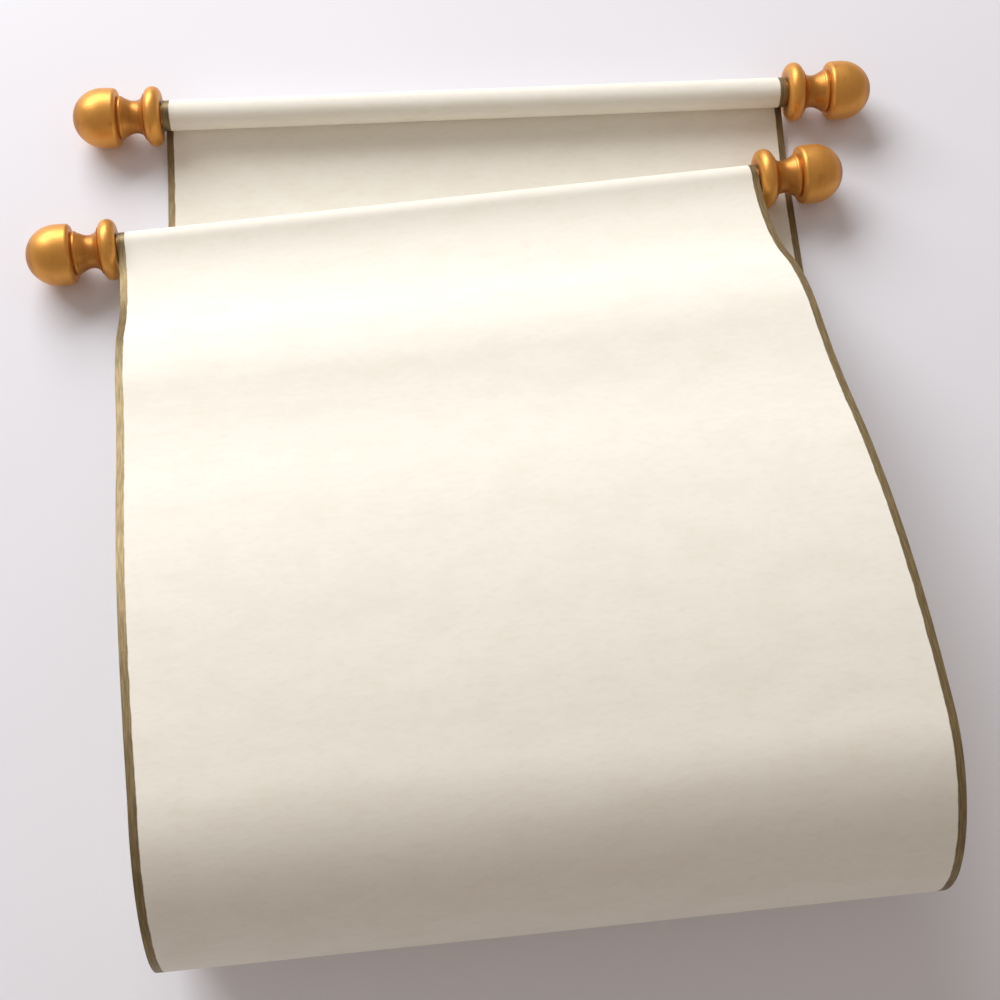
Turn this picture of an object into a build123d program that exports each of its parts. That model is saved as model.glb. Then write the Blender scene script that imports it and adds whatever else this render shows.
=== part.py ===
from build123d import *
import os
from math import cos, radians, sin, tan

# A blank paper scroll lying open on a table. One long sheet is wound on a turned rod at each end.
# It runs from beneath the back rod over the table, bends up and back in a wide loop, and comes
# down to the front rod, which lies across the lower run.
# Millimetres. +X runs along the back rod, +Y from the loop towards the back rod, +Z up.
# The origin is on the table, under the middle of the sheet's lower run.

os.makedirs("parts", exist_ok=True)

# ---- sheet ----
paper_width = 203.2
paper_thickness = 0.3
wound_turns = 3
rod_gap = 40.5                # from the back rod's axis to the front rod's, at the middle of the sheet
lead_in_slope = 16.0          # how steeply the sheet leaves the back roll for the table, degrees

# ---- loop: seen from above, the sheet turns back at this angle to its own width ----
loop_skew = 2.12
shoulder_turn = 55.0
shoulder_bend = 40.0          # bend radii of the loop, in proportion: the crest's height scales them
nose_bend = 29.0

# ---- upper run, from the front roll to the crest: (length, slope at its far end) ----
roll_off_slope = -11.0
valley = (11.8, 12.0)
waves = [(27.5, 42.0), (31.4, 11.0), (31.4, 24.0), (31.4, 15.0), (31.4, 6.0), (31.4, 0.0)]

# ---- rods ----
dowel_diameter = 8.0
finial_length = 28.3
ball_radius = 9.5
ball_depth = 9.8              # from the finial's tip to where the ball is widest
shoulder_place = 13.8         # places are distances from the finial's inner face
shoulder_drop = 0.3           # the shoulder's radius is this much below the ball's
shoulder_round = 1.3
groove_radius = 6.4
bead_place = 12.9
bead_width = 1.6
bead_radius = 6.85
neck_place = 8.8
neck_radius = 5.15
collar_place = 5.5
collar_radius = 7.3
flange_width = 5.2
flange_radius = 9.5
flange_foot = 6.9             # radius at which the flange's rounded rim starts
bore_depth = 14.0
cove_ends = [(0.3, -1), (1, 0.5)]    # directions in which the cove leaves the collar and meets the bead

# ---- clearances ----
wrap_clearance = 0.05         # dowel to the sheet's inmost turn
bore_clearance = 0.1          # dowel to finial, the glue line
bore_end_gap = 1.0
flange_gap = 0.5              # sheet's edge to the flange
rest_gap = 0.1                # front flange to the lower run that it lies on

# ---- worked out from the sizes above ----
dowel_radius = dowel_diameter / 2
wrap_bore = dowel_radius + wrap_clearance
roll_radius = wrap_bore + wound_turns * paper_thickness
sheet_middle = paper_thickness / 2
wound_middle = roll_radius - sheet_middle
shoulder_radius = ball_radius - shoulder_drop
back_height = max(ball_radius, flange_radius)
front_height = back_height + paper_thickness + rest_gap
dowel_length = paper_width + 2 * (flange_gap + bore_depth - bore_end_gap)


def turns_of(bends, slope, scale=1.0):
    """Each bend as (radius, turn), from its length and the slope at its far end."""
    result = []
    for length, end_slope in bends:
        turn = end_slope - slope
        result.append((scale * length / radians(abs(turn)), turn))
        slope = end_slope
    return result


def reach(turns, slope):
    """How far a chain of bends goes along, and how far up."""
    along = up = 0.0
    for radius, turn in turns:
        signed = radius if turn > 0 else -radius
        along += signed * (sin(radians(slope + turn)) - sin(radians(slope)))
        up += signed * (cos(radians(slope)) - cos(radians(slope + turn)))
        slope += turn
    return along, up


def strip_outline(start, slope, turns):
    """The sheet's section: a closed strip of one thickness along a chain of tangent bends."""
    heading = Vector(cos(radians(slope)), sin(radians(slope)))
    left = Vector(-heading.Y, heading.X)
    ends = []
    for side in (1, -1):
        point, tangent = Vector(*start) + left * side * sheet_middle, heading
        first = point
        for radius, turn in turns:
            inward = side if turn > 0 else -side
            arc = JernArc(point, tangent, radius - inward * sheet_middle, turn)
            point, tangent = arc @ 1, arc % 1
        ends.append((first, point))
    Line(ends[0][0], ends[1][0])
    Line(ends[0][1], ends[1][1])


# ---- the sheet's line, seen from the side: front roll, valley, waves, crest ----
valley_turns = turns_of([valley], roll_off_slope)
valley_along, valley_up = reach(valley_turns, roll_off_slope)
roll_off = (wound_middle * sin(radians(-roll_off_slope)), wound_middle * cos(radians(roll_off_slope)))
valley_end = (roll_off[0] + valley_along, roll_off[1] + valley_up)
waves_along, waves_up = reach(turns_of(waves, valley[1]), valley[1])

# The skewed crest line makes the upper run longer at the right edge than at the left one.
flare = paper_width * tan(radians(loop_skew)) / (2 * waves_along)
loop_turns = [(shoulder_bend, shoulder_turn), (nose_bend, 180 - 2 * shoulder_turn), (shoulder_bend, shoulder_turn)]
loop_rise = reach(loop_turns, 0)[1]

# ---- the sheet's line, seen from above ----
lower_run = rod_gap + (valley_end[0] + waves_along) * cos(radians(2 * loop_skew))
back_place = lower_run / 2
crest_place = back_place - lower_run
skew_offset = paper_width / 2 * tan(radians(loop_skew))
fold_out = Vector(sin(radians(loop_skew)), -cos(radians(loop_skew)))
fold_line = Vector(cos(radians(loop_skew)), sin(radians(loop_skew)))
front_out = Vector(sin(radians(2 * loop_skew)), -cos(radians(2 * loop_skew)))
front_line = Vector(cos(radians(2 * loop_skew)), sin(radians(2 * loop_skew)))
fold_points = {side: Vector(side * paper_width / 2, crest_place + side * skew_offset) for side in (-1, 1)}
front_left = fold_points[-1] - front_out * (valley_end[0] + (1 - flare) * waves_along)
front_middle = front_left + front_line * (paper_width / 2) + Vector(0, 0, front_height)
back_middle = Vector(0, back_place, back_height)

with BuildPart() as paper_sheet:
    # back roll, and the sheet coming from beneath it down to the table
    drop = back_height - wound_middle * cos(radians(lead_in_slope)) - sheet_middle
    lead_in = [(drop / (1 - cos(radians(lead_in_slope))), lead_in_slope)]
    leave = (-wound_middle * sin(radians(lead_in_slope)), -wound_middle * cos(radians(lead_in_slope)))
    table_start = back_place - leave[0] - reach(lead_in, -lead_in_slope)[0]
    with BuildSketch(Plane(origin=back_middle, x_dir=(0, -1, 0), z_dir=(-1, 0, 0))):
        Circle(roll_radius)
        with BuildLine():
            strip_outline(leave, -lead_in_slope, lead_in)
        make_face()
        Circle(wrap_bore, mode=Mode.SUBTRACT)
    extrude(amount=paper_width / 2, both=True)
    # lower run, flat on the table
    with BuildSketch(Plane.XY):
        with BuildLine():
            Polyline(
                (-paper_width / 2, table_start),
                (paper_width / 2, table_start),
                fold_points[1],
                fold_points[-1],
                close=True,
            )
        make_face()
    extrude(amount=paper_thickness)
    # loop, from the table up to the crest
    for side in (-1, 1):
        crest_up = front_height + valley_end[1] + (1 + side * flare) * waves_up
        scale = (crest_up - sheet_middle) / loop_rise
        turns = [(radius * scale, turn) for radius, turn in loop_turns]
        with BuildSketch(Plane(origin=fold_points[side], x_dir=fold_out, z_dir=-fold_line)):
            with BuildLine():
                strip_outline((0, sheet_middle), 0, turns)
            make_face()
    loft(ruled=True)
    # upper run, from the crest down to the valley
    for side in (-1, 1):
        corner = front_middle + front_line * (side * paper_width / 2)
        with BuildSketch(Plane(origin=corner, x_dir=front_out, z_dir=-front_line)):
            with BuildLine():
                strip_outline(valley_end, valley[1], turns_of(waves, valley[1], 1 + side * flare))
            make_face()
    loft(ruled=True)
    # valley and front roll
    with BuildSketch(Plane(origin=front_middle, x_dir=front_out, z_dir=-front_line)):
        Circle(roll_radius)
        with BuildLine():
            strip_outline(roll_off, roll_off_slope, valley_turns)
        make_face()
        Circle(wrap_bore, mode=Mode.SUBTRACT)
    extrude(amount=paper_width / 2, both=True)
paper_sheet.part.label = "paper_sheet"
export_step(paper_sheet.part, "parts/paper_sheet.step")

for rod, middle, line in (("back", back_middle, Vector(1, 0, 0)), ("front", front_middle, front_line)):
    with BuildPart() as dowel:
        with BuildSketch(Plane(origin=middle, z_dir=line)):
            Circle(dowel_radius)
        extrude(amount=dowel_length / 2, both=True)
    dowel.part.label = rod + "_dowel"
    export_step(dowel.part, "parts/" + dowel.part.label + ".step")

    for side, hand in ((-1, "left"), (1, "right")):
        outward = line * side
        seat = middle + outward * (paper_width / 2 + flange_gap)
        with BuildPart() as finial:
            with BuildSketch(Plane(origin=seat, x_dir=outward, z_dir=(-outward.Y, outward.X, 0))) as turned:
                shoulder = (shoulder_place, shoulder_radius)
                with BuildLine():
                    # flange with a rounded rim, and the small step up to the collar
                    Line((0, 0), (0, flange_foot))
                    ThreePointArc((0, flange_foot), (flange_width / 2, flange_radius), (flange_width, flange_foot))
                    Line((flange_width, flange_foot), (collar_place, collar_radius))
                    # cove from the collar down to the neck and up to the bead
                    bead_start = (bead_place - bead_width / 2, groove_radius)
                    bead_end = (bead_place + bead_width / 2, groove_radius)
                    Spline((collar_place, collar_radius), (neck_place, neck_radius), bead_start, tangents=cove_ends)
                    ThreePointArc(bead_start, (bead_place, bead_radius), bead_end)
                    # shoulder behind the ball, its barrel and its dome
                    Polyline(bead_end, (shoulder_place, groove_radius), shoulder)
                    TangentArc((finial_length - ball_depth, ball_radius), shoulder, tangent=(-1, 0))
                    EllipticalCenterArc((finial_length - ball_depth, 0), ball_depth, ball_radius, arc_size=90)
                    Line((finial_length, 0), (0, 0))
                make_face()
                fillet(turned.vertices().sort_by_distance(shoulder)[0], shoulder_round)
            revolve(axis=Axis(seat, outward))
            with BuildSketch(Plane(origin=seat, z_dir=outward)):
                Circle(dowel_radius + bore_clearance)
            extrude(amount=bore_depth, mode=Mode.SUBTRACT)
        finial.part.label = rod + "_" + hand + "_finial"
        export_step(finial.part, "parts/" + finial.part.label + ".step")
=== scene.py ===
from math import atan2, cos, pi, radians, sin, tan

import bpy
from bpy.props import FloatProperty, FloatVectorProperty, IntProperty, PointerProperty
from mathutils import Matrix, Vector


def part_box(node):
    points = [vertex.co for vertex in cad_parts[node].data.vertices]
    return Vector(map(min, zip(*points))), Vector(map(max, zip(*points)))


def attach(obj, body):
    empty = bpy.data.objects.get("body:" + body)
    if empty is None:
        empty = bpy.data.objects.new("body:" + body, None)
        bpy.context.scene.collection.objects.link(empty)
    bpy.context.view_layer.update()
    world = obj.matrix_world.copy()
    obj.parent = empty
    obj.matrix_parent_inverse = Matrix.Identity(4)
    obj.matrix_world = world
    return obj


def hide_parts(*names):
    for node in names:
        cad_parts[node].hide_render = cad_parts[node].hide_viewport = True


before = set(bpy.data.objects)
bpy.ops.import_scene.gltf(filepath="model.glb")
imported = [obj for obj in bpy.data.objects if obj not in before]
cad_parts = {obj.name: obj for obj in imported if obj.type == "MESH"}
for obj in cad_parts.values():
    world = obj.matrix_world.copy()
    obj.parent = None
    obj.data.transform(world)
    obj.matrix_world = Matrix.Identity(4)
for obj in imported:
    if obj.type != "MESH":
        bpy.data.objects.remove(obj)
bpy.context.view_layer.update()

bl_info = {
    "name": "Blank Paper Scroll",
    "version": (1, 0, 0),
    "blender": (4, 5, 0),
    "location": "View3D > Sidebar > Scroll",
    "description": "A parchment sheet looped between two dowels with gilded turned finials",
    "category": "Object",
}

UP = Vector((0, 0, 1))
RODS = ("back", "front")
HANDS = ("left", "right")

# The upper run from the front roll to the crest: (length in metres, slope at its far end in degrees).
ROLL_OFF_SLOPE = -11.0
VALLEY = (0.0118, 12.0)
WAVES = ((0.0275, 42.0), (0.0314, 11.0), (0.0314, 24.0), (0.0314, 15.0), (0.0314, 6.0), (0.0314, 0.0))

# How finely the sheet's edges are followed: metres between points, and numbers of points.
STEP = 0.0015
FINE_STEP = 0.001
POINTS_PER_TURN = 40
FLAT_POINTS = 90
SHARP_ANGLE = radians(50)
SHEET_SEED = 4.0

# The stage, in metres.
TABLE_HALF = 3.0
TABLE_DROP = 0.00002
WINDOW_WIDTH = 1.3
WINDOW_HEIGHT = 0.8
WINDOW_PLACE = (-0.60, 1.02, 0.80)
WINDOW_AIM = Vector((0, -0.03, 0.02))
WINDOW_COLOUR = (0.955, 0.975, 1.0)
ROOM_COLOUR = (1.0, 0.885, 0.815, 1.0)
SENSOR_WIDTH = 36.0
NEAREST = 0.01


def length(name, description, default):
    return FloatProperty(name=name, description=description, default=default, unit="LENGTH", precision=5)


def degrees(name, description, default):
    return FloatProperty(name=name, description=description, default=radians(default), subtype="ANGLE")


def colour(name, description, default):
    return FloatVectorProperty(
        name=name, description=description, default=default, subtype="COLOR", min=0, max=1
    )


def number(name, description, default):
    return FloatProperty(name=name, description=description, default=default)


# ---------------------------------------------------------------- properties

class ScrollSheetSizes(bpy.types.PropertyGroup):
    width: length("Width", "Width of the sheet between its long edges", 0.2032)
    thickness: length("Thickness", "Thickness of the paper", 0.00024)
    layer: length("Layer", "Room that each layer takes, lying or wound", 0.0003)
    turns: IntProperty(name="Turns", description="Turns of paper wound on each dowel", default=3)
    wrap_bore: length("Wrap bore", "Radius inside the inmost turn", 0.00405)
    lead_in: degrees("Lead-in", "Slope at which the sheet leaves the back roll", 16.0)
    skew: degrees("Skew", "Angle at which the sheet turns back on itself", 2.12)
    shoulder_turn: degrees("Shoulder turn", "Turn of each gentler bend of the loop", 55.0)
    shoulder_bend: length("Shoulder bend", "Radius of the gentler bends, in proportion", 0.040)
    nose_bend: length("Nose bend", "Radius of the bend at the loop's nose, in proportion", 0.029)
    stripe: length("Stripe", "Width of the painted stripe on each long edge", 0.0022)
    ripple: length("Ripple", "Height of the paper's shallow ripples", 0.00032)
    across: IntProperty(name="Across", description="Mesh points across the sheet", default=60)


class ScrollColours(bpy.types.PropertyGroup):
    paper: colour("Paper", "Ivory of the paper", (0.905, 0.87, 0.775))
    fleck: colour("Fleck", "Cloudier patches of the paper", (0.855, 0.805, 0.69))
    stripe: colour("Stripe", "Antique gold of the edge stripes", (0.300, 0.222, 0.112))
    gilt: colour("Gilt", "Gold paint on the turned finials", (0.740, 0.345, 0.070))
    # Painted shade: a darker gold that stands in for the shade falling in the finials' grooves and neck.
    gilt_groove_shade: colour("Groove shade gilt", "Gold paint where it lies thick in the grooves", (0.42, 0.155, 0.022))
    table: colour("Table", "Pale table top", (0.865, 0.860, 0.905))


class ScrollStageSizes(bpy.types.PropertyGroup):
    azimuth: degrees("Azimuth", "Where the camera stands round the scroll", -10.88)
    elevation: degrees("Elevation", "Camera above the horizon", 69.61)
    roll: degrees("Roll", "Camera turned about its own line of sight", 7.08)
    distance: length("Distance", "Camera to the point it looks at", 0.4683)
    aim: FloatVectorProperty(
        name="Aim", description="Point the camera looks at", default=(-0.00296, -0.0251, 0.010), unit="LENGTH"
    )
    lens: number("Lens", "Focal length in millimetres", 56.83)
    window_power: number("Window power", "Power of the soft window light behind the scroll, in watts", 23.0)
    fill: number("Fill", "Strength of the even light from all round", 0.38)


# ---------------------------------------------------------------- node helpers

class Tree:
    """A node tree, with one method that makes any node."""

    def __init__(self, tree):
        self.tree = tree

    def make(self, kind, settings=None, **sockets):
        """A node from its type, its settings and the values or links of its sockets."""
        node = self.tree.nodes.new(kind)
        for name, value in (settings or {}).items():
            setattr(node, name, value)
        for name, value in sockets.items():
            self._put(self._socket(node, name), value)
        return node

    def out(self, kind, output, settings=None, **sockets):
        """One output of a new node, wrapped for use in expressions."""
        node = self.make(kind, settings, **sockets)
        found = node.outputs[output] if isinstance(output, int) else self._named(node.outputs, output)
        return Value(self, found)

    def _put(self, socket, value):
        if isinstance(value, Value):
            self.tree.links.new(value.socket, socket)
        elif isinstance(value, bpy.types.NodeSocket):
            self.tree.links.new(value, socket)
        else:
            socket.default_value = value

    @staticmethod
    def _named(sockets, name):
        shown = [s for s in sockets if s.enabled and s.name == name]
        return shown[0]

    def _socket(self, node, name):
        if name.startswith("in") and name[2:].isdigit():
            return node.inputs[int(name[2:])]
        return self._named(node.inputs, name.replace("_", " "))


class Value:
    """A socket whose arithmetic adds Math nodes."""

    def __init__(self, tree, socket):
        self.tree = tree
        self.socket = socket

    def _math(self, operation, *values, **settings):
        sockets = {f"in{i}": v for i, v in enumerate(values)}
        return self.tree.out("ShaderNodeMath", 0, {"operation": operation, **settings}, **sockets)

    def __add__(self, other):
        return self._math("ADD", self, other)

    def __radd__(self, other):
        return self._math("ADD", other, self)

    def __sub__(self, other):
        return self._math("SUBTRACT", self, other)

    def __rsub__(self, other):
        return self._math("SUBTRACT", other, self)

    def __mul__(self, other):
        return self._math("MULTIPLY", self, other)

    def __rmul__(self, other):
        return self._math("MULTIPLY", other, self)

    def __truediv__(self, other):
        return self._math("DIVIDE", self, other)

    def clamp(self):
        return self._math("ADD", self, 0.0, use_clamp=True)

    def floor(self):
        return self._math("FLOOR", self)

    def modulo(self, other):
        return self._math("MODULO", self, other)

    def smaller(self, other):
        return self._math("MINIMUM", self, other)

    def fade(self, low, high):
        """0 below low, 1 above high, smooth between."""
        return self.tree.out(
            "ShaderNodeMapRange", "Result", {"interpolation_type": "SMOOTHSTEP"},
            Value=self, From_Min=low, From_Max=high, To_Min=0.0, To_Max=1.0,
        )


def mix_colours(tree, factor, first, second):
    return tree.out("ShaderNodeMix", 2, {"data_type": "RGBA"}, in0=factor, in6=first, in7=second)


def opaque(shade):
    return (*shade, 1.0)


def new_material(name):
    material = bpy.data.materials.new(name)
    material.use_nodes = True
    material.node_tree.nodes.clear()
    return material, Tree(material.node_tree)


def finish_material(tree, shader):
    output = tree.make("ShaderNodeOutputMaterial")
    tree.tree.links.new(shader.outputs[0], output.inputs["Surface"])


def noise(tree, vector, scale, detail=3.0, rough=0.5):
    return tree.out(
        "ShaderNodeTexNoise", "Fac", Vector=vector, Scale=scale, Detail=detail, Roughness=rough,
    )


def stretched(tree, vector, scale):
    return tree.out("ShaderNodeVectorMath", 0, {"operation": "MULTIPLY"}, in0=vector, in1=scale)


# ---------------------------------------------------------------- materials

def parchment_material(sizes, colours):
    """Matt ivory paper with cloudy fibres, and a painted stripe on each long edge of both faces."""
    material, tree = new_material("parchment_paper")
    flat = tree.out("ShaderNodeTexCoord", "UV")
    across = tree.out("ShaderNodeSeparateXYZ", "X", Vector=flat)
    cloud = noise(tree, stretched(tree, flat, (1.0, 1.6, 1.0)), 70.0, 4.0, 0.55)
    fibre = noise(tree, stretched(tree, flat, (0.45, 1.0, 1.0)), 650.0, 4.0, 0.6)
    tooth = noise(tree, flat, 2600.0, 2.0, 0.5)
    mottle = (cloud.fade(0.42, 0.66) * 0.35 + fibre.fade(0.45, 0.72) * 0.45).clamp()
    paper = mix_colours(tree, mottle, opaque(colours.paper), opaque(colours.fleck))
    edge = across.smaller(sizes.width - across)
    wander = noise(tree, stretched(tree, flat, (0.0, 1.0, 1.0)), 220.0, 2.0) - 0.5
    stripe = 1 - (edge + wander * 0.0005).fade(sizes.stripe - 0.00015, sizes.stripe + 0.00015)
    brushed = noise(tree, stretched(tree, flat, (6.0, 0.4, 1.0)), 420.0, 3.0)
    deep = tuple(0.62 * c for c in colours.stripe)
    paint = mix_colours(tree, brushed.fade(0.35, 0.7), opaque(deep), opaque(colours.stripe))
    base = mix_colours(tree, stripe, paper, paint)
    height = cloud * 0.5 + fibre * 0.35 + tooth * 0.15
    bump = tree.make("ShaderNodeBump", Height=height, Strength=0.22, Distance=0.0004)
    shader = tree.make(
        "ShaderNodeBsdfPrincipled",
        Base_Color=base, Roughness=0.82 - stripe * 0.36, Metallic=stripe * 0.55,
        Normal=Value(tree, bump.outputs[0]),
    )
    shader.inputs["Specular IOR Level"].default_value = 0.25
    finish_material(tree, shader)
    return material


def gilt_material(name, colours, axis_point, axis_line, shade_radius, lit_radius, worn):
    """Satin gold paint on turned wood: painted shade darkens it where the radius is small, in the grooves and
    neck, with lathe rings and clouds.
    """
    material, tree = new_material(name)
    place = tree.out("ShaderNodeTexCoord", "Object")
    offset = tree.out("ShaderNodeVectorMath", 0, {"operation": "SUBTRACT"}, in0=place, in1=axis_point)
    along = tree.out("ShaderNodeVectorMath", 1, {"operation": "DOT_PRODUCT"}, in0=offset, in1=axis_line)
    cross = tree.out("ShaderNodeVectorMath", 0, {"operation": "CROSS_PRODUCT"}, in0=offset, in1=axis_line)
    radius = tree.out("ShaderNodeVectorMath", 1, {"operation": "LENGTH"}, in0=cross)
    cloud = noise(tree, place, 190.0, 4.0, 0.6)
    speck = noise(tree, place, 1500.0, 3.0, 0.65)
    rings = noise(tree, tree.out("ShaderNodeCombineXYZ", 0, X=along, Y=radius * 0.3), 1300.0, 2.0)
    # Painted shade: the gold turns to the darker colour below a set radius, in the grooves and neck. The mix
    # below joins it with random clouds and lathe rings.
    groove_shade = 1 - radius.fade(shade_radius, lit_radius)
    shade = (groove_shade * 0.75 + cloud.fade(0.52, 0.75) * 0.35 + rings.fade(0.5, 0.8) * 0.18).clamp()
    base = mix_colours(tree, shade, opaque(colours.gilt), opaque(colours.gilt_groove_shade))
    base = mix_colours(tree, speck.fade(0.60, 0.78) * worn, base, opaque((0.92, 0.60, 0.22)))
    height = cloud * 0.4 + speck * 0.25 + rings * 0.35
    bump = tree.make("ShaderNodeBump", Height=height, Strength=0.35, Distance=0.0003)
    shader = tree.make(
        "ShaderNodeBsdfPrincipled",
        Base_Color=base, Roughness=0.33 + cloud * 0.16, Metallic=0.55 + speck * 0.2,
        Normal=Value(tree, bump.outputs[0]),
    )
    finish_material(tree, shader)
    return material


def table_material(colours):
    """Matt pale table top with a trace of unevenness."""
    material, tree = new_material("table_top")
    place = tree.out("ShaderNodeTexCoord", "Object")
    dull = tuple(0.985 * c for c in colours.table)
    cloud = noise(tree, place, 6.0, 3.0)
    base = mix_colours(tree, cloud.fade(0.3, 0.7), opaque(colours.table), opaque(dull))
    shader = tree.make("ShaderNodeBsdfPrincipled", Base_Color=base, Roughness=0.7)
    shader.inputs["Specular IOR Level"].default_value = 0.2
    finish_material(tree, shader)
    return material


# ---------------------------------------------------------------- the sheet's line

def rod_middle(rod):
    low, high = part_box(rod + "_dowel")
    return (low + high) / 2


def bends_to_turns(bends, slope):
    """Each bend as (radius, turn in radians), from its length and the slope at its far end in degrees."""
    turns = []
    for run, end_slope in bends:
        turn = radians(end_slope - slope)
        turns.append((run / abs(turn), turn))
        slope = end_slope
    return turns


def arc_chain(start, heading, turns, step, scale=1.0):
    """Points along tangent arcs, from start, which is left out. Every scale gives as many points."""
    points = []
    x, y = start
    for radius, turn in turns:
        count = max(6, round(abs(turn) * radius / step))
        signed = scale * (radius if turn > 0 else -radius)
        for i in range(1, count + 1):
            now = heading + turn * i / count
            points.append((x + signed * (sin(now) - sin(heading)), y + signed * (cos(heading) - cos(now))))
        x, y = points[-1]
        heading += turn
    return points


def winding(sizes, leave, hand):
    """The wound turns, from the inmost to the point where the sheet leaves; hand is 1 for anticlockwise."""
    outer = sizes.wrap_bore + (sizes.turns - 0.5) * sizes.layer
    inner = sizes.wrap_bore + 0.5 * sizes.layer
    last = atan2(leave[1], leave[0])
    count = sizes.turns * POINTS_PER_TURN
    points = []
    for i in range(count):
        done = i / count
        angle = last - hand * 2 * pi * sizes.turns * (1 - done)
        radius = inner + (outer - inner) * done
        points.append((radius * cos(angle), radius * sin(angle)))
    return points


def sheet_edges(sizes):
    """The sheet's two long edges as (point, freedom to ripple), from the back roll to the front one."""
    half = sizes.width / 2
    middle = sizes.layer / 2
    wound = sizes.wrap_bore + sizes.turns * sizes.layer - middle
    back = rod_middle("back")
    front = rod_middle("front")
    fold_out = Vector((sin(sizes.skew), -cos(sizes.skew), 0))
    front_out = Vector((sin(2 * sizes.skew), -cos(2 * sizes.skew), 0))
    front_line = Vector((cos(2 * sizes.skew), sin(2 * sizes.skew), 0))
    towards = Vector((0, -1, 0))

    slope = -sizes.lead_in
    leave = (wound * sin(slope), -wound * cos(slope))
    drop = back.z + leave[1] - middle
    lead = [(drop / (1 - cos(slope)), -slope)]
    start = winding(sizes, leave, 1) + [leave] + arc_chain(leave, slope, lead, STEP)

    off_slope = radians(ROLL_OFF_SLOPE)
    off = (-wound * sin(off_slope), wound * cos(off_slope))
    wound_front = winding(sizes, off, -1) + [off]
    valley = arc_chain(off, off_slope, bends_to_turns([VALLEY], ROLL_OFF_SLOPE), FINE_STEP)
    plain = arc_chain((0, 0), radians(VALLEY[1]), bends_to_turns(WAVES, VALLEY[1]), STEP)
    flare = sizes.width * tan(sizes.skew) / (2 * plain[-1][0])
    loop = [
        (sizes.shoulder_bend, sizes.shoulder_turn),
        (sizes.nose_bend, pi - 2 * sizes.shoulder_turn),
        (sizes.shoulder_bend, sizes.shoulder_turn),
    ]
    loop_rise = arc_chain((0, 0), 0, loop, FINE_STEP)[-1][1]

    edges = []
    for side in (-1, 1):
        scale = 1 + side * flare
        waves = [(valley[-1][0] + x * scale, valley[-1][1] + y * scale) for x, y in plain]
        corner = front + front_line * (side * half)
        upper = [(corner + front_out * x + UP * y, 0.0) for x, y in wound_front]
        upper += [(corner + front_out * x + UP * y, i / len(valley)) for i, (x, y) in enumerate(valley, 1)]
        upper += [(corner + front_out * x + UP * y, 1.0) for x, y in waves]
        crest = upper[-1][0]
        foot = Vector((side * half, crest.y, middle))
        lower = [(Vector((side * half, back.y, back.z)) + towards * x + UP * y, 0.0) for x, y in start]
        table_start = lower[-1][0]
        lower += [(table_start.lerp(foot, i / FLAT_POINTS), 0.0) for i in range(1, FLAT_POINTS + 1)]
        stretch = (crest.z - middle) / loop_rise
        curl = arc_chain((0, 0), 0, loop, STEP, stretch)
        count = len(curl)
        bend = [(foot + fold_out * x + UP * y, i / count) for i, (x, y) in enumerate(curl, 1)]
        edges.append(lower + bend + upper[-2::-1])
    return edges


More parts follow.
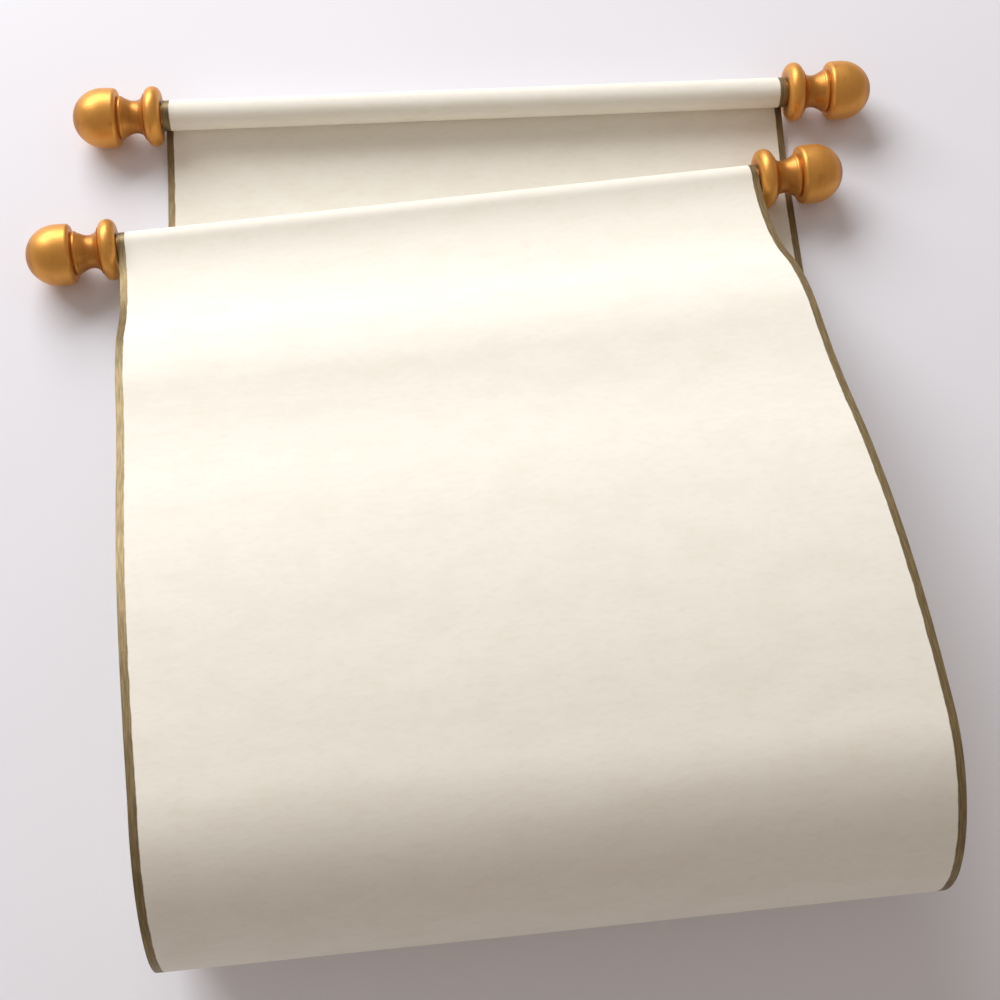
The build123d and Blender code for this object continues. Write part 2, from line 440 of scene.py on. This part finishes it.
def sheet_tree():
    """Geometry Nodes: a sheet stretched between two edge curves of as many points, with shallow ripples."""
    group = bpy.data.node_groups.new("sheet_between_edges", "GeometryNodeTree")
    new_socket = group.interface.new_socket
    new_socket(name="Geometry", in_out="INPUT", socket_type="NodeSocketGeometry")
    for name, kind in (
        ("Across", "NodeSocketInt"), ("Rows", "NodeSocketInt"), ("Width", "NodeSocketFloat"),
        ("Ripple", "NodeSocketFloat"), ("Seed", "NodeSocketFloat"), ("Material", "NodeSocketMaterial"),
    ):
        new_socket(name=name, in_out="INPUT", socket_type=kind)
    new_socket(name="Geometry", in_out="OUTPUT", socket_type="NodeSocketGeometry")
    tree = Tree(group)
    given = tree.make("NodeGroupInput")
    given = {socket.name: Value(tree, socket) for socket in given.outputs if socket.name}
    rows = given["Rows"]
    grid = tree.out("GeometryNodeMeshGrid", 0, Vertices_X=given["Across"], Vertices_Y=rows)
    index = tree.out("GeometryNodeInputIndex", 0)
    row = index.modulo(rows)
    share = (index / rows).floor() / (given["Across"] - 1)

    def sampled(value, kind, place):
        return tree.out(
            "GeometryNodeSampleIndex", 0, {"data_type": kind, "domain": "POINT"},
            Geometry=given["Geometry"], Value=value, Index=place,
        )

    position = tree.out("GeometryNodeInputPosition", 0)
    left = sampled(position, "FLOAT_VECTOR", row)
    right = sampled(position, "FLOAT_VECTOR", row + rows)
    between = tree.out("ShaderNodeMix", 1, {"data_type": "VECTOR"}, in0=share, in4=left, in5=right)
    run = sampled(tree.out("GeometryNodeSplineParameter", "Length"), "FLOAT", row)
    freedom = sampled(tree.out("GeometryNodeInputRadius", 0), "FLOAT", row)
    flat = tree.out("ShaderNodeCombineXYZ", 0, X=share * given["Width"], Y=run)
    on_points = tree.out(
        "GeometryNodeFieldOnDomain", 0, {"data_type": "FLOAT_VECTOR", "domain": "POINT"}, Value=flat
    )
    laid = tree.out("GeometryNodeSetPosition", 0, Geometry=grid, Position=between)
    mapped = tree.out(
        "GeometryNodeStoreNamedAttribute", 0, {"data_type": "FLOAT2", "domain": "CORNER"},
        Geometry=laid, Name="UVMap", Value=on_points,
    )
    seeded = tree.out("ShaderNodeCombineXYZ", 0, X=share * given["Width"], Y=run, Z=given["Seed"])
    broad = noise(tree, stretched(tree, seeded, (0.22, 1.0, 1.0)), 34.0, 1.0, 0.4)
    fine = noise(tree, stretched(tree, seeded, (0.35, 1.0, 1.0)), 95.0, 2.0, 0.5)
    height = ((broad - 0.5) * 2.4 + (fine - 0.5) * 0.8) * given["Ripple"] * freedom
    normal = tree.out("GeometryNodeInputNormal", 0)
    lift = tree.out("ShaderNodeVectorMath", 0, {"operation": "SCALE"}, in0=normal, Scale=height)
    rippled = tree.out("GeometryNodeSetPosition", 0, Geometry=mapped, Offset=lift)
    smooth = tree.out("GeometryNodeSetShadeSmooth", 0, Geometry=rippled, Shade_Smooth=True)
    real = tree.out("GeometryNodeRealizeInstances", 0, Geometry=smooth)
    painted = tree.out("GeometryNodeSetMaterial", 0, Geometry=real, Material=given["Material"])
    tree.make("NodeGroupOutput", Geometry=painted)
    return group


def plain_mesh(source, name):
    """The evaluated source as a plain mesh object of its own; the source is removed."""
    mesh = bpy.data.meshes.new_from_object(source.evaluated_get(bpy.context.evaluated_depsgraph_get()))
    mesh.name = name
    bpy.data.objects.remove(source)
    made = bpy.data.objects.new(name, mesh)
    bpy.context.scene.collection.objects.link(made)
    return made


def set_inputs(modifier, **values):
    for socket in modifier.node_group.interface.items_tree:
        if socket.item_type == "SOCKET" and socket.in_out == "INPUT" and socket.name in values:
            modifier[socket.identifier] = values[socket.name]


# ---------------------------------------------------------------- operators

class SCROLL_OT_sheet(bpy.types.Operator):
    """Make the wound and looped sheet of paper with its painted edges"""
    bl_idname = "scroll.sheet"
    bl_label = "Paper Sheet"

    def execute(self, context):
        sizes = context.scene.scroll_sheet
        edges = sheet_edges(sizes)
        rows = len(edges[0])
        if rows != len(edges[1]):
            raise RuntimeError("the sheet's two edges have different numbers of points")
        curve = bpy.data.curves.new("sheet_edges", "CURVE")
        curve.dimensions = "3D"
        for edge in edges:
            spline = curve.splines.new("POLY")
            spline.points.add(rows - 1)
            for point, (place, freedom) in zip(spline.points, edge):
                point.co = (*place, 1.0)
                point.radius = freedom
        guide = bpy.data.objects.new("sheet_edges", curve)
        context.scene.collection.objects.link(guide)
        material = parchment_material(sizes, context.scene.scroll_colours)
        modifier = guide.modifiers.new("sheet", "NODES")
        modifier.node_group = sheet_tree()
        set_inputs(
            modifier, Across=sizes.across, Rows=rows, Width=sizes.width,
            Ripple=sizes.ripple, Seed=SHEET_SEED, Material=material,
        )
        flat = plain_mesh(guide, "parchment_sheet_face")
        solid = flat.modifiers.new("thickness", "SOLIDIFY")
        solid.thickness = sizes.thickness
        solid.offset = 0.0
        sheet = plain_mesh(flat, "parchment_sheet")
        sheet.data.set_sharp_from_angle(angle=SHARP_ANGLE)
        run = sum((b[0] - a[0]).length for a, b in zip(edges[0], edges[0][1:]))
        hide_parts("paper_sheet")
        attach(sheet, "root")
        print(f"sheet: {run:.4f} m long, {rows} rows")
        return {"FINISHED"}


class SCROLL_OT_rods(bpy.types.Operator):
    """Gild the dowels and the turned finials"""
    bl_idname = "scroll.rods"
    bl_label = "Dowels and Finials"

    def execute(self, context):
        colours = context.scene.scroll_colours
        for rod in RODS:
            skew = 0 if rod == "back" else 2 * context.scene.scroll_sheet.skew
            line = (cos(skew), sin(skew), 0)
            middle = tuple(rod_middle(rod))
            # The finials get painted shade in their grooves below a radius of 0.0078 m; the dowels get almost
            # none.
            gilt = gilt_material("gilt_" + rod, colours, middle, line, 0.0052, 0.0078, 0.35)
            plain = gilt_material("gilt_dowel_" + rod, colours, middle, line, 0.0030, 0.0038, 0.1)
            self.paint(rod + "_dowel", plain, "gold_painted_dowel")
            for hand in HANDS:
                self.paint(f"{rod}_{hand}_finial", gilt, "gold_painted_finial")
        return {"FINISHED"}

    @staticmethod
    def paint(node, material, slot):
        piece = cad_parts[node]
        for held in piece.material_slots:
            held.material = material


class SCROLL_OT_stage(bpy.types.Operator):
    """Lay the pale table, and set the light and the camera"""
    bl_idname = "scroll.stage"
    bl_label = "Table, Light and Camera"

    def execute(self, context):
        scene = context.scene
        sizes = scene.scroll_stage
        mesh = bpy.data.meshes.new("table_top")
        signs = ((-1, -1), (1, -1), (1, 1), (-1, 1))
        corners = [(TABLE_HALF * x, TABLE_HALF * y, 0) for x, y in signs]
        mesh.from_pydata(corners, [], [(0, 1, 2, 3)])
        mesh.materials.append(table_material(scene.scroll_colours))
        table = bpy.data.objects.new("table_top", mesh)
        table.location.z = -TABLE_DROP
        scene.collection.objects.link(table)

        window = bpy.data.lights.new("window", "AREA")
        window.shape = "RECTANGLE"
        window.size = WINDOW_WIDTH
        window.size_y = WINDOW_HEIGHT
        window.energy = sizes.window_power
        window.color = WINDOW_COLOUR
        lamp = bpy.data.objects.new("window", window)
        lamp.location = WINDOW_PLACE
        lamp.rotation_euler = (WINDOW_AIM - lamp.location).to_track_quat("-Z", "Y").to_euler()
        scene.collection.objects.link(lamp)

        world = bpy.data.worlds.new("room")
        world.use_nodes = True
        sky = world.node_tree.nodes["Background"]
        sky.inputs["Color"].default_value = ROOM_COLOUR
        sky.inputs["Strength"].default_value = sizes.fill
        scene.world = world

        camera = bpy.data.cameras.new("camera")
        camera.sensor_width = SENSOR_WIDTH
        camera.lens = sizes.lens
        camera.clip_start = NEAREST
        eye = bpy.data.objects.new("camera", camera)
        aim = Vector(sizes.aim)
        flat = cos(sizes.elevation)
        back = Vector((sin(sizes.azimuth) * flat, -cos(sizes.azimuth) * flat, sin(sizes.elevation)))
        right = (-back).cross(UP).normalized()
        above = right.cross(-back)
        turned = right * cos(sizes.roll) + above * sin(sizes.roll)
        raised = above * cos(sizes.roll) - right * sin(sizes.roll)
        pose = Matrix((turned, raised, back)).transposed().to_4x4()
        pose.translation = aim + back * sizes.distance
        eye.matrix_world = pose
        scene.collection.objects.link(eye)
        scene.camera = eye
        scene.view_settings.view_transform = "Standard"
        return {"FINISHED"}


class SCROLL_PT_panel(bpy.types.Panel):
    """Lists the scroll's pieces"""
    bl_label = "Paper Scroll"
    bl_space_type = "VIEW_3D"
    bl_region_type = "UI"
    bl_category = "Scroll"

    def draw(self, context):
        for operator in OPERATORS:
            self.layout.operator(operator.bl_idname)
        for name in ("scroll_sheet", "scroll_colours", "scroll_stage"):
            group = getattr(context.scene, name)
            box = self.layout.box()
            for field in group.__annotations__:
                box.prop(group, field)


GROUPS = {"scroll_sheet": ScrollSheetSizes, "scroll_colours": ScrollColours, "scroll_stage": ScrollStageSizes}
OPERATORS = (SCROLL_OT_sheet, SCROLL_OT_rods, SCROLL_OT_stage)


def register():
    for made in (*GROUPS.values(), *OPERATORS, SCROLL_PT_panel):
        bpy.utils.register_class(made)
    for name, group in GROUPS.items():
        setattr(bpy.types.Scene, name, PointerProperty(type=group))


def unregister():
    for name in GROUPS:
        delattr(bpy.types.Scene, name)
    for made in (SCROLL_PT_panel, *OPERATORS, *GROUPS.values()):
        bpy.utils.unregister_class(made)


def main():
    register()
    bpy.ops.scroll.stage()
    bpy.ops.scroll.sheet()
    bpy.ops.scroll.rods()


if __name__ == "__main__":
    main()
